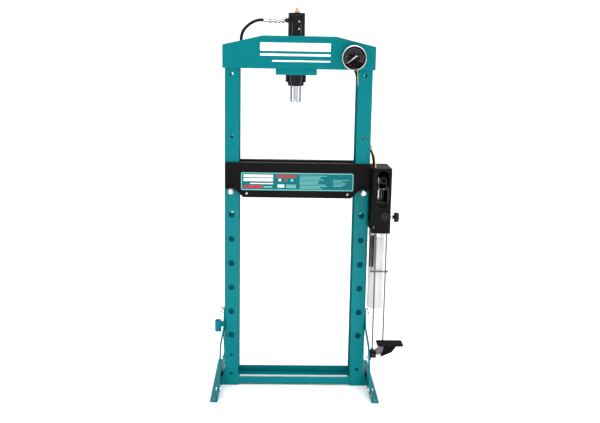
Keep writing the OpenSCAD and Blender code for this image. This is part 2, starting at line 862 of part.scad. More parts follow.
// Fork on the right-hand front brace that carries the pedal's pivot
module pedal_bracket() {
    color(black) difference() {
        union() {
            block([foot_x, -139, 150], [foot_x + 4, -111, 192]);
            for (y = [-139, -117]) block([foot_x, y, 163], [356, y + 6, 192]);
        }
        rod_x(foot_x - 1, foot_x + 5, pedal_bolt[0], pedal_bolt[1], bolt_hole_r);
        rod_y(-140, -110, pivot_x, pivot_z, bolt_r + gap);
    }
}

// Pedal's arm: hub on the pivot, pin for the pull rod, and a rising end under the pad
module pedal_arm() {
    color([0.45, 0.46, 0.48]) difference() {
        union() {
            rod_y(arm_y - 7.5, arm_y + 7.5, pivot_x, pivot_z, 8.5);
            plate_xz(arm_y - 4, arm_y + 4, [
                [338, 184], [352, 197], [376, 216], [394, 231], [440, 231], [436, 212],
                [404, 177], [380, 175], [350, 172], [342, 171]]);
            rod_y(arm_y + 3, -97, link_x, link_z, bolt_r);
        }
        rod_y(arm_y - 8, arm_y + 8, pivot_x, pivot_z, bolt_r + 0.08);
    }
}

// Pad with its side gusset
module pedal_pad() {
    left = 355;
    color(black) {
        block([left, -185, 231], [left + pedal_w, -114, 238]);
        plate_xz(arm_y - 10, arm_y - 4, [
            [394, 232], [449, 232], [446, 216], [425, 187], [376, 165], [376, 172], [386, 190]]);
    }
}

left_column();
right_column();
header_front_plate();
header_rear_plate();
cylinder_block();
base_bars();
left_foot();
right_foot();
front_braces();
rear_braces();
brace_bolts();
handle_holder();
cylinder_barrel();
cylinder_cap();
lower_lock_ring();
upper_lock_ring();
rod_gland();
air_nipple();
bleed_screws();
port_adapter();
coupler_plug();
coupler_body();
hose_ferrules();
hose();
piston();
piston_seal();
ram_rod();
ram_head();
return_spring();
gauge_case();
gauge_bezel();
gauge_dial();
gauge_lens();
gauge_needle();
gauge_fitting();
gauge_line();
front_bed_beam();
rear_bed_beam();
bed_spacers();
bed_bolts();
name_plate();
left_bed_pin();
right_bed_pin();
pump_housing();
pump_bracket();
pump_block();
pump_bolts();
lever_plates();
handle_socket();
pivot_pins();
pump_plunger();
release_knob();
front_plug();
reservoir();
pull_rod();
pull_spring();
tie_rod();
pedal_bracket();
pedal_arm();
pedal_pad();
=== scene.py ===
"""The looks of a hydraulic shop press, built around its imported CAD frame.

The scene is in metres in the frame's own axes: X to the right, Y to the rear, Z up, with the
origin on the floor midway between the columns. The pieces' sizes and places are written in
millimetres, and MM takes them to metres.
"""

import json
import math
import random

import bmesh
import bpy
from mathutils import Matrix, Vector

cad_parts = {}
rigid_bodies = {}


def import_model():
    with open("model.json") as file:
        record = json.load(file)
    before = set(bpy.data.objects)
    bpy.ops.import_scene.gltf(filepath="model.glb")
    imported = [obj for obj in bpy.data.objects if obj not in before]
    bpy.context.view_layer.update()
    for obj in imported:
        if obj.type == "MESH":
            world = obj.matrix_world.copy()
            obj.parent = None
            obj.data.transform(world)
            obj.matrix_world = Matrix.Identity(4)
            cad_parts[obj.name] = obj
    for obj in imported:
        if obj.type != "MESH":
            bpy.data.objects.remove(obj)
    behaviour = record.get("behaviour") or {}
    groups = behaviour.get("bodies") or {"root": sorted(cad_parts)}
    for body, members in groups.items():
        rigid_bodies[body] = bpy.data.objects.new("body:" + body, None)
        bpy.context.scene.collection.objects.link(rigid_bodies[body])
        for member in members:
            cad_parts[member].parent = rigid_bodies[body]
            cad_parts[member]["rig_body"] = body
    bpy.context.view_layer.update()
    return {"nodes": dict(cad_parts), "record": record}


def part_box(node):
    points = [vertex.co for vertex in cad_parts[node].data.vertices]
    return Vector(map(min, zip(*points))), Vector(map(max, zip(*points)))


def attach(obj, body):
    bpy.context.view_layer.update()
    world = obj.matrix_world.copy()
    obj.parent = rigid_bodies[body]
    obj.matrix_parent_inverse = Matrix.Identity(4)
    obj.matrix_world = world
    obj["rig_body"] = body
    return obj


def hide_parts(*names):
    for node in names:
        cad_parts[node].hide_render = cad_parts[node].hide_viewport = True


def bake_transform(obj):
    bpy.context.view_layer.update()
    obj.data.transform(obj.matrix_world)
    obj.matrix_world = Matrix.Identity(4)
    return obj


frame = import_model()
SLOTS = {part["node"]: part["material_slot"] for part in frame["record"]["subparts"]}
MM = 0.001
TAU = math.tau


def new_object(name, data):
    """An object in the scene."""
    made = bpy.data.objects.new(name, data)
    bpy.context.scene.collection.objects.link(made)
    return made


# ---------- camera ----------

# Metres, then yaw to the right, dip and roll in radians, then the lens in mm
CAMERA_PLACE = Vector((-0.07494, -3.55615, 1.44274))
CAMERA_YAW = 0.02545
CAMERA_DIP = 0.18261
CAMERA_ROLL = 0.01706
CAMERA_LENS = 49.26


def make_camera():
    """The camera that sees the press from the front."""
    up = Vector((0, 0, 1))
    level = Vector((math.sin(CAMERA_YAW), math.cos(CAMERA_YAW), 0))
    side = Vector((math.cos(CAMERA_YAW), -math.sin(CAMERA_YAW), 0))
    ahead = level * math.cos(CAMERA_DIP) - up * math.sin(CAMERA_DIP)
    above = up * math.cos(CAMERA_DIP) + level * math.sin(CAMERA_DIP)
    right = side * math.cos(CAMERA_ROLL) + above * math.sin(CAMERA_ROLL)
    above = above * math.cos(CAMERA_ROLL) - side * math.sin(CAMERA_ROLL)
    data = bpy.data.cameras.new("camera")
    data.lens = CAMERA_LENS
    data.sensor_width = 36
    camera = new_object("camera", data)
    turn = Matrix((right, above, -ahead)).transposed().to_4x4()
    camera.matrix_world = Matrix.Translation(CAMERA_PLACE) @ turn
    bpy.context.scene.camera = camera


# ---------- materials ----------

def rgb(red, green, blue):
    """Linear colour from 0 to 255 display values."""
    def linear(value):
        value /= 255
        return value / 12.92 if value <= 0.04045 else ((value + 0.055) / 1.055) ** 2.4
    return (linear(red), linear(green), linear(blue), 1.0)


def shaded(colour, factor):
    """The colour made lighter or darker."""
    return tuple(min(1.0, c * factor) for c in colour[:3]) + (1.0,)


def add_node(tree, kind, values):
    """A new shader node with its inputs set."""
    node = tree.nodes.new("ShaderNode" + kind)
    for socket, value in values.items():
        node.inputs[socket].default_value = value
    return node


def surface(name, colour, rough, metal=0.0, grain=400, bump=0.15, depth=0.1,
            vary=0.04, rough_vary=0.08, patch=5.0, shine=0.5, alpha=1.0):
    """A procedural material. grain is the fine noise's pitch per metre, one number or one
    each for X, Y and Z; depth is its height in mm, and patch the slow colour change's pitch."""
    material = bpy.data.materials.new(name)
    material.use_nodes = True
    tree = material.node_tree
    shader = tree.nodes["Principled BSDF"]
    shader.inputs["Metallic"].default_value = metal
    shader.inputs["Specular IOR Level"].default_value = shine
    shader.inputs["Alpha"].default_value = alpha
    place = tree.nodes.new("ShaderNodeTexCoord").outputs["Object"]

    def noise(pitch, detail):
        scale = pitch if isinstance(pitch, tuple) else (pitch, pitch, pitch)
        mapping = add_node(tree, "Mapping", {"Scale": scale})
        tree.links.new(place, mapping.inputs["Vector"])
        texture = add_node(tree, "TexNoise", {"Scale": 1.0, "Detail": detail})
        tree.links.new(mapping.outputs["Vector"], texture.inputs["Vector"])
        return texture.outputs["Fac"]

    fine = noise(grain, 3.0)
    slow = noise(patch, 4.0)
    mix = add_node(tree, "Mix", {})
    mix.data_type = "RGBA"
    mix.inputs["A"].default_value = shaded(colour, 1 - vary)
    mix.inputs["B"].default_value = shaded(colour, 1 + vary)
    tree.links.new(slow, mix.inputs["Factor"])
    tree.links.new(mix.outputs["Result"], shader.inputs["Base Color"])
    spread = add_node(tree, "MapRange", {"From Min": 0.3, "From Max": 0.7,
                                         "To Min": max(0.02, rough - rough_vary),
                                         "To Max": min(1.0, rough + rough_vary)})
    tree.links.new(fine, spread.inputs["Value"])
    tree.links.new(spread.outputs["Result"], shader.inputs["Roughness"])
    relief = add_node(tree, "Bump", {"Strength": bump, "Distance": depth * MM})
    tree.links.new(fine, relief.inputs["Height"])
    tree.links.new(relief.outputs["Normal"], shader.inputs["Normal"])
    return material


# Grain of a surface turned about an axis
TURNED_X = (1500, 25, 25)
TURNED_Y = (25, 1500, 25)
TURNED_Z = (25, 25, 1500)
# How strongly a surface that isn't bare metal mirrors its surroundings
DULL = 0.02
MATT = 0.06
SATIN = 0.12
OILED = 0.22
GLOSS = 0.4
M = {
    "teal": surface("teal_enamel", rgb(0, 104, 110), 0.4, grain=520, bump=0.25, depth=0.12,
                    vary=0.05, shine=MATT),
    "black": surface("black_enamel", rgb(19, 17, 18), 0.5, grain=700, bump=0.2, depth=0.1,
                     vary=0.12, shine=DULL),
    "oxide": surface("blackened_steel", rgb(14, 13, 17), 0.16, grain=TURNED_Z, bump=0.04,
                     depth=0.01, vary=0.15, rough_vary=0.04, shine=OILED),
    "oxide_x": surface("blackened_fitting", rgb(14, 13, 15), 0.28, grain=TURNED_X, bump=0.2,
                       depth=0.03, vary=0.12, shine=GLOSS),
    "ground": surface("ground_steel", rgb(180, 182, 186), 0.3, metal=1.0, grain=TURNED_Z,
                      bump=0.03, depth=0.01, vary=0.03, rough_vary=0.03),
    "zinc": surface("zinc_plate", rgb(196, 196, 198), 0.3, metal=0.95, grain=900, bump=0.2,
                    depth=0.04, vary=0.08, rough_vary=0.1, patch=60),
    "zinc_x": surface("zinc_turned_x", rgb(206, 206, 209), 0.27, metal=1.0, grain=TURNED_X,
                      bump=0.15, depth=0.03, vary=0.05, patch=60),
    "zinc_y": surface("zinc_turned_y", rgb(150, 146, 149), 0.36, metal=1.0, grain=TURNED_Y,
                      bump=0.15, depth=0.03, vary=0.06, patch=60),
    "rod": surface("drawn_rod", rgb(96, 91, 89), 0.4, metal=0.35, grain=(600, 600, 20), bump=0.15,
                   depth=0.03, vary=0.12, patch=25, shine=MATT),
    "cast": surface("painted_casting", rgb(44, 45, 48), 0.5, metal=0.2, grain=350, bump=0.6,
                    depth=0.35, vary=0.15),
    "machined": surface("machined_iron", rgb(178, 178, 181), 0.35, metal=0.9, grain=TURNED_X,
                        bump=0.15, depth=0.04, vary=0.08, patch=50),
    "wire": surface("spring_wire", rgb(62, 60, 63), 0.33, metal=0.85, grain=500, bump=0.15,
                    depth=0.03, vary=0.12, patch=40),
    "chrome": surface("polished_chrome", rgb(226, 227, 230), 0.09, metal=1.0, bump=0.05,
                      depth=0.01, vary=0.02, rough_vary=0.03),
    "brass": surface("brass", rgb(228, 198, 134), 0.28, metal=1.0, grain=600, bump=0.15,
                     depth=0.03, vary=0.07, patch=50),
    "copper_cap": surface("nipple_brass", rgb(232, 170, 116), 0.36, metal=0.7, grain=TURNED_Z,
                          bump=0.2, depth=0.04, vary=0.06, patch=50),
    "hose": surface("hose_cover", rgb(22, 22, 24), 0.42, grain=900, bump=0.4, depth=0.1, vary=0.15,
                    patch=30, shine=SATIN),
    "seal": surface("seal_rubber", rgb(26, 26, 26), 0.6, bump=0.2, shine=SATIN),
    "dial": surface("dial_black", rgb(17, 16, 18), 0.6, bump=0.1, depth=0.02, shine=MATT),
    "mark": surface("dial_print", rgb(128, 124, 126), 0.6, bump=0.05, depth=0.01, vary=0.02,
                    shine=MATT),
    "red_mark": surface("dial_red", rgb(150, 52, 50), 0.6, bump=0.05, depth=0.01, vary=0.02,
                        shine=MATT),
    "needle": surface("needle_cream", rgb(226, 219, 218), 0.4, bump=0.05, depth=0.01),
    "lens": surface("clear_lens", rgb(20, 20, 22), 0.05, bump=0.0, rough_vary=0.02, shine=0.2,
                    alpha=0.08),
    "bottle": surface("clear_bottle", rgb(190, 190, 188), 0.35, grain=120, bump=0.15, depth=0.2,
                      vary=0.03, shine=0.3, alpha=0.97),
    "tread": surface("pedal_rubber", rgb(16, 14, 17), 0.6, grain=700, bump=0.15, depth=0.05,
                     vary=0.1, shine=DULL),
    "plastic": surface("moulded_black", rgb(11, 10, 12), 0.3, grain=1400, bump=0.15, depth=0.03,
                       vary=0.1, shine=SATIN),
    "grey": surface("grey_enamel", rgb(82, 80, 86), 0.42, metal=0.4, grain=600, bump=0.3,
                    depth=0.1, vary=0.1),
    "white": surface("white_film", rgb(236, 239, 239), 0.35, grain=500, bump=0.1, depth=0.05,
                     vary=0.02, shine=SATIN),
    "label": surface("label_teal", rgb(4, 92, 98), 0.35, grain=500, bump=0.08, depth=0.04,
                     vary=0.03, shine=MATT),
    "mint": surface("label_mint", rgb(112, 178, 172), 0.35, bump=0.05, depth=0.02, vary=0.02,
                    shine=MATT),
    "label_red": surface("label_red", rgb(172, 40, 48), 0.35, bump=0.05, depth=0.02, vary=0.02,
                         shine=MATT),
}


# ---------- mesh helpers ----------

def finished(work, name, sharp):
    """A mesh from a bmesh: smooth, but with corners over sharp degrees kept."""
    bmesh.ops.recalc_face_normals(work, faces=work.faces)
    mesh = bpy.data.meshes.new(name)
    work.to_mesh(mesh)
    work.free()
    mesh.shade_smooth()
    mesh.set_sharp_from_angle(angle=math.radians(sharp))
    return mesh


def add_piece(name, work, material, node=None, body="frame", slot=None, sharp=35, bends=False):
    """Puts a bmesh in the scene. With a CAD node it stands for that node, on the node's body;
    otherwise it is a detail on the body given. The slot argument is not used. A piece that
    bends is put on no body."""
    piece = new_object(name, finished(work, name, sharp))
    piece.data.materials.append(M[material])
    if node:
        body, slot = frame["nodes"][node]["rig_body"], SLOTS[node]
        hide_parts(node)
    if not bends:
        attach(piece, body)
    return piece


def round_edges(piece, width):
    """Rounds the sharp edges of a piece by width in mm."""
    bevel = piece.modifiers.new("round", "BEVEL")
    bevel.width = width * MM
    bevel.segments = 2
    bevel.limit_method = "ANGLE"
    bevel.angle_limit = math.radians(40)
    bevel.use_clamp_overlap = True
    bevel.harden_normals = True


def box_mm(node):
    """The lowest x, y and z of a CAD node and then its highest, in mm."""
    low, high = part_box(node)
    return [value / MM for value in (*low, *high)]


def ring_of(work, points):
    """Vertices at points given in mm."""
    return [work.verts.new([value * MM for value in point]) for point in points]


def join_rings(work, rings, loop=False):
    """Faces between neighbouring rings of vertices. A loop closes on itself; otherwise its
    ends are capped."""
    pairs = list(zip(rings, rings[1:]))
    if loop:
        pairs.append((rings[-1], rings[0]))
    for one, two in pairs:
        for k in range(len(one)):
            n = (k + 1) % len(one)
            work.faces.new((one[k], one[n], two[n], two[k]))
    if not loop:
        work.faces.new(rings[0])
        work.faces.new(list(reversed(rings[-1])))


def shifted(profile, by):
    """A profile of (radius, height) moved along its axis."""
    return [(radius, height + by) for radius, height in profile]


# The turns that take +Z to each axis
TURNS = {"X": Matrix.Rotation(TAU / 4, 4, "Y"), "Y": Matrix.Rotation(-TAU / 4, 4, "X"),
         "Z": Matrix.Identity(4)}


def lathe(work, profile, axis, centre, steps=48, loop=False, ripple=None):
    """Turns a profile of (radius, height) in mm about an axis through centre, in metres. A
    loop closes on itself; otherwise its ends are capped. ripple(angle, height) scales the
    radius."""
    matrix = Matrix.Translation(Vector(centre)) @ TURNS[axis]
    rings = []
    for radius, height in profile:
        ring = []
        for k in range(steps):
            a = TAU * k / steps
            r = radius * MM * (ripple(a, height) if ripple else 1)
            ring.append(work.verts.new(matrix @ Vector((r * math.cos(a), r * math.sin(a),
                                                        height * MM))))
        rings.append(ring)
    join_rings(work, rings, loop)


def turned(name, profile, material, axis, centre, steps=48, loop=False, ripple=None, **where):
    """A piece turned from one profile; where says what it stands for, as in add_piece."""
    work = bmesh.new()
    lathe(work, profile, axis, centre, steps, loop, ripple)
    add_piece(name, work, material, **where)


def sweep(work, points, radius, sides, ripple=None):
    """A tube of radius mm along points, with its section carried without twist. ripple(index)
    scales the radius."""
    across = None
    rings = []
    for i, point in enumerate(points):
        heading = (points[min(i + 1, len(points) - 1)] - points[max(i - 1, 0)]).normalized()
        if across is None:
            across = Vector((0, 0, 1)) if abs(heading.z) < 0.9 else Vector((0, 1, 0))
        across = (across - heading * across.dot(heading)).normalized()
        other = heading.cross(across)
        r = radius * MM * (ripple(i) if ripple else 1)
        rings.append([work.verts.new(point + r * (math.cos(TAU * k / sides) * across
                                                  + math.sin(TAU * k / sides) * other))
                      for k in range(sides)])
    join_rings(work, rings)


def slab(work, low, high):
    """A box from its low corner to its high corner, in mm."""
    made = bmesh.ops.create_cube(work, size=1)["verts"]
    low, high = Vector(low) * MM, Vector(high) * MM
    size, middle = high - low, (high + low) / 2
    for vert in made:
        vert.co = Vector((vert.co.x * size.x, vert.co.y * size.y, vert.co.z * size.z)) + middle


def plate(work, outline, y1, y2):
    """A plate with an outline of (x, z), from y1 to y2, all in mm."""
    join_rings(work, [ring_of(work, [(x, y, z) for x, z in outline]) for y in (y1, y2)])


def arc(cx, cy, radius, start, end, steps=6):
    """Points round part of a circle, from start to end in quarter turns."""
    return [(cx + radius * math.cos(TAU / 4 * (start + (end - start) * k / steps)),
             cy + radius * math.sin(TAU / 4 * (start + (end - start) * k / steps)))
            for k in range(steps + 1)]


def rounded_box(x1, z1, x2, z2, corner):
    """The outline of a rectangle with round corners, in mm."""
    left, low, right, top = x1 + corner, z1 + corner, x2 - corner, z2 - corner
    return (arc(right, top, corner, 0, 1) + arc(left, top, corner, 1, 2)
            + arc(left, low, corner, 2, 3) + arc(right, low, corner, 3, 4))


def smooth_route(route, steps=3):
    """Points in metres along a Catmull-Rom curve through a route in mm."""
    route = [Vector(p) * MM for p in route]
    padded = [2 * route[0] - route[1], *route, 2 * route[-1] - route[-2]]
    points = []
    for i in range(1, len(padded) - 2):
        a, b, c, d = padded[i - 1:i + 3]
        for k in range(steps):
            t = k / steps
            points.append(0.5 * (2 * b + (c - a) * t + (2 * a - 5 * b + 4 * c - d) * t * t
                                 + (3 * b - a - 3 * c + d) * t * t * t))
    points.append(route[-1])
    return points


# ---------- hose and gauge line ----------

HOSE_RADIUS = 6.5
HOSE_ROUTE = [
    (-152, 0, 1606), (-170, 0, 1605.5), (-187, 0, 1601), (-203, 0, 1593), (-218, 0, 1582),
    (-231, 0, 1569), (-240, 0, 1554), (-245, 1, 1537), (-246, 3, 1519), (-242, 7, 1501),
    (-231, 13, 1485), (-213, 21, 1472), (-189, 30, 1464), (-160, 38, 1461), (-128, 44, 1460),
    (-95, 47, 1460), (-60, 48, 1460), (-12, 48, 1460), (36, 48, 1460), (75, 46, 1460),
    (110, 43, 1459), (143, 38, 1457), (174, 32, 1453), (201, 25, 1446), (223, 17, 1432),
    (238, 10, 1413), (247, 6, 1391), (254, 4, 1367), (260, 3, 1342), (265, 3, 1315),
    (268, 3, 1285), (270, 3, 1252), (270, 3, 1219), (272, 2, 1189), (277, 0, 1161),
    (285, -3, 1136), (295, -8, 1114), (306, -14, 1093), (316, -21, 1072), (324, -29, 1050),
    (329, -37, 1026), (331, -43, 1001), (331.5, -46, 976), (331.5, -47, 950), (331.5, -47, 905),
]
LINE_RADIUS = 2.5
LINE_ROUTE = [
    (228, -40, 1454), (228, -33, 1454), (230, -27, 1451), (235, -25, 1443), (242, -25, 1428),
    (248, -26, 1408), (251, -27, 1385), (253, -28, 1355), (256, -28, 1320), (258, -28, 1280),
    (259, -28, 1240), (261, -28, 1195), (267, -28, 1160), (277, -29, 1132), (290, -31, 1109),
    (304, -35, 1090), (316, -43, 1073), (323, -55, 1058), (327, -71, 1046), (329, -88, 1035),
    (330, -102, 1021), (330, -111, 1004), (330, -114, 985), (330, -112, 965), (331, -106, 944),
    (333, -97, 922), (335, -89, 900), (336, -85, 877), (336, -84, 850),
]


def make_hose():
    """The pump's hose: one smooth line from the coupler to the pump, inside the press."""
    points = smooth_route(HOSE_ROUTE)
    curve = bpy.data.curves.new("hose_line", "CURVE")
    curve.dimensions = "3D"
    curve.bevel_depth = HOSE_RADIUS * MM
    curve.bevel_resolution = 6
    curve.use_fill_caps = True
    line = curve.splines.new("POLY")
    line.points.add(len(points) - 1)
    for knot, point in zip(line.points, points):
        knot.co = (*point, 1)
    curve.materials.append(M["hose"])
    piece = new_object("pump_hose", curve)
    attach(piece, "frame")
    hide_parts("hose")


def make_line():
    """The gauge's brass pipe."""
    work = bmesh.new()
    sweep(work, smooth_route(LINE_ROUTE), LINE_RADIUS, 12)
    add_piece("gauge_pipe", work, "brass", "gauge_line")


# ---------- welded frame ----------

COLUMN_IN, COLUMN_OUT = 250, 312
COLUMN_Y = 59.5
COLUMN_TOP = 1495
SHEET = 5
FOLD = 8
PIN_X = 282
PIN_ROWS = [889 - 109 * row for row in range(7)]
PIN_HOLE_R, SMALL_HOLE_R, BOLT_HOLE_R = 13.3, 7, 5.4
FOOT_X = 329
BRACE_BOLT_Y, BRACE_BOLT_Z = 28, 333
PUMP_BOLT_Y, PUMP_BOLT_ROWS = -30, (790, 940)


def cut(piece, cutter):
    """Takes the closed shapes in the bmesh cutter out of a piece, for good."""
    tool = new_object("cutter", finished(cutter, "cutter", 35))
    step = piece.modifiers.new("cut", "BOOLEAN")
    step.operation = "DIFFERENCE"
    step.solver = "EXACT"
    step.object = tool
    bpy.context.view_layer.update()
    result = bpy.data.meshes.new_from_object(piece.evaluated_get(
        bpy.context.evaluated_depsgraph_get()))
    piece.modifiers.clear()
    piece.data = result
    bpy.data.objects.remove(tool)
    result.shade_smooth()
    result.set_sharp_from_angle(angle=math.radians(35))


def make_column(name, side, small_holes, for_pump):
    """A column folded from sheet, with round corners, its holes and its two gussets. The one
    for the pump has the pump's bolt holes and the slot that the hose goes through."""
    inner = SHEET - 2
    section = [(COLUMN_IN, -COLUMN_Y)]
    section += arc(COLUMN_OUT - FOLD, -COLUMN_Y + FOLD, FOLD, -1, 0)
    section += arc(COLUMN_OUT - FOLD, COLUMN_Y - FOLD, FOLD, 0, 1)
    section += [(COLUMN_IN, COLUMN_Y), (COLUMN_IN, COLUMN_Y - SHEET)]
    section += arc(COLUMN_OUT - FOLD, COLUMN_Y - FOLD, inner, 1, 0)
    section += arc(COLUMN_OUT - FOLD, -COLUMN_Y + FOLD, inner, 0, -1)
    section += [(COLUMN_IN, -COLUMN_Y + SHEET)]
    work = bmesh.new()
    join_rings(work, [ring_of(work, [(side * x, y, z) for x, y in section])
                      for z in (0, COLUMN_TOP)])
    piece = add_piece(name + "_sheet", work, "teal", name)
    holes = bmesh.new()
    for rows, radius in ((PIN_ROWS, PIN_HOLE_R), (small_holes, SMALL_HOLE_R)):
        for z in rows:
            lathe(holes, [(radius, -70), (radius, 70)], "Y", (side * PIN_X * MM, 0, z * MM), 40)
    bolt_holes = [(-BRACE_BOLT_Y, BRACE_BOLT_Z), (BRACE_BOLT_Y, BRACE_BOLT_Z)]
    if for_pump:
        bolt_holes += [(PUMP_BOLT_Y, z) for z in PUMP_BOLT_ROWS]
        outline = rounded_box(-52, 1058, -5, 1110, 10)
        join_rings(holes, [ring_of(holes, [(x, y, z) for y, z in outline]) for x in (300, 320)])
    for y, z in bolt_holes:
        lathe(holes, [(BOLT_HOLE_R, side * 300), (BOLT_HOLE_R, side * 320)], "X",
              (0, y * MM, z * MM), 24)
    cut(piece, holes)
    round_edges(piece, 0.7)
    work = bmesh.new()
    for y in (-COLUMN_Y + 0.5, COLUMN_Y - 6.5):
        outline = [(side * x, z) for x, z in ((COLUMN_OUT - 3, 0), (FOOT_X, 0), (FOOT_X, 8),
                                              (COLUMN_OUT, 70), (COLUMN_OUT - 3, 70))]
        plate(work, outline, y, y + 6)
    round_edges(add_piece(name + "_gussets", work, "teal"), 0.8)


def weld(work, start, end, radius=2.4, pitch=4.5):
    """A weld bead from start to end in mm, with its ripples."""
    start, end = Vector(start) * MM, Vector(end) * MM
    per_ripple = 4
    steps = max(8, round((end - start).length / (pitch * MM)) * per_ripple)
    points = [start.lerp(end, k / steps) for k in range(steps + 1)]

    def ripple(i):
        ends = min(1.0, 0.35 + 0.3 * min(i, steps - i))
        return ends * (0.84 + 0.16 * abs(math.cos(math.pi * i / per_ripple)))
    sweep(work, points, radius, 8, ripple=ripple)


def make_welds():
    """The beads that hold the frame together."""
    work = bmesh.new()
    y, header_low = COLUMN_Y + 1.6, 1403.6
    upright = ((COLUMN_OUT + 1, 55, 1408, 1488, 2.4), (COLUMN_OUT + 0.6, 52.6, 9, 64, 2),
               (FOOT_X - 0.6, 52.4, 2, 9, 1.8))
    for depth in (-1, 1):
        for side in (-1, 1):
            weld(work, (side * 253, depth * y, header_low), (side * 309, depth * y, header_low))
            for bead_x, bead_y, z1, z2, radius in upright:
                weld(work, (side * bead_x, depth * bead_y, z1),
                     (side * bead_x, depth * bead_y, z2), radius)
        weld(work, (-97, depth * y, header_low), (74, depth * y, header_low))
    for side in (-1, 1):
        for bead_y, z in ((-54, 9), (54, 23)):
            weld(work, (side * 250.5, bead_y, z), (side * 250.5, bead_y, z + 27), 2.2)
    for z in (277, 297):
        for bead_y in (-60 - 5.4, -60 + 5.4):
            weld(work, (-331, bead_y, z), (-318, bead_y, z), 1.5, 3)
    add_piece("frame_welds", work, "teal", slot="teal_paint", sharp=60)


def make_stripes():
    """Plain white film on the header: three level stripes, each thinner than the last."""
    front = box_mm("header_front_plate")[1]
    work = bmesh.new()
    for x1, x2, z1, z2 in ((-164, 131, 1478, 1512), (-164, 131, 1458, 1467),
                           (-113, 131, 1434, 1440)):
        plate(work, rounded_box(x1, z1, x2, z2, 2.5), front - 0.25, front - 0.001)
    add_piece("header_stripes", work, "white", slot="label_plate")


# ---------- fasteners ----------

def thread(radius, low, high, pitch=1.5, depth=0.55):
    """Profile of a thread between two heights."""
    count = max(1, round(abs(high - low) / pitch))
    step = (high - low) / count
    points = []
    for i in range(count):
        points += [(radius - depth, low + i * step), (radius, low + (i + 0.5) * step)]
    return points + [(radius - depth, high)]


def hexagon(work, corner, low, high, axis, centre):
    """A six-sided head or nut with its corners chamfered."""
    chamfer = math.copysign(0.12 * corner, high - low)

    def ripple(angle, height):
        flat = math.cos(TAU / 12) / math.cos(angle % (TAU / 6) - TAU / 12)
        return min(flat, 0.91) if height in (low, high) else flat
    lathe(work, [(corner, low), (corner, low + chamfer), (corner, high - chamfer),
                 (corner, high)], axis, centre, 48, ripple=ripple)


def bolt(work, axis, centre, head, nut=None, tip=None, corner=9):
    """A hex bolt along an axis. head and nut are (face against the work, outer face), tip is
    where the thread ends, and all are places on the axis."""
    for end in (head, nut):
        if end:
            face, outer = end
            edge = face + math.copysign(1.4, outer - face)
            lathe(work, [(corner * 1.14, face), (corner * 1.18, (face + edge) / 2),
                         (corner * 1.14, edge)], axis, centre, 32)
            hexagon(work, corner, edge, outer, axis, centre)
    last = nut[1] if nut else head[0]
    lathe(work, [(5, head[0]), (5, last)], axis, centre, 24)
    if tip is not None:
        lathe(work, thread(5, last, tip), axis, centre, 24)


def make_bolts():
    """Brace bolts, bed bolts and pump bolts."""
    work = bmesh.new()
    for side in (-1, 1):
        for depth in (-1, 1):
            bolt(work, "X", (0, depth * 200 * MM, 38 * MM), (side * 333, side * 340),
                 (side * 324, side * 316), side * 312.5)
            bolt(work, "X", (0, depth * BRACE_BOLT_Y * MM, BRACE_BOLT_Z * MM),
                 (side * 307, side * 300), (side * 317, side * 325), side * 334)
    bolt(work, "X", (0, -125 * MM, 160 * MM), (333, 339), (324, 316), 312.5, corner=8)
    add_piece("frame_bolts", work, "zinc", "brace_bolts")
    work = bmesh.new()
    for z in PUMP_BOLT_ROWS:
        bolt(work, "X", (0, PUMP_BOLT_Y * MM, z * MM), (307, 300))
    bolt(work, "X", (0, PUMP_BOLT_Y * MM, PUMP_BOLT_ROWS[1] * MM), (321, 327), corner=8)
    add_piece("pump_screws", work, "zinc", "pump_bolts")
    work = bmesh.new()
    for x in (-217, 217):
        centre = (x * MM, 0, 875 * MM)
        lathe(work, [(0.8, -71.6), (0.9, -73), (3.6, -72.6), (4.9, -71.4), (5.2, -70)], "Y",
              centre, 32)
        bolt(work, "Y", centre, (70, 78), tip=82)
    add_piece("bed_screws", work, "machined", "bed_bolts")


# ---------- cylinder and ram ----------

RAM_R = 24.5
RAM_X = box_mm("ram_rod")[0] + RAM_R
BARREL_R = 36.25


def on_ram_axis(name, profile, material, **more):
    """A piece turned about the cylinder's axis, heights in mm above the floor."""
    turned(name, profile, material, "Z", (RAM_X * MM, 0, 0), **more)


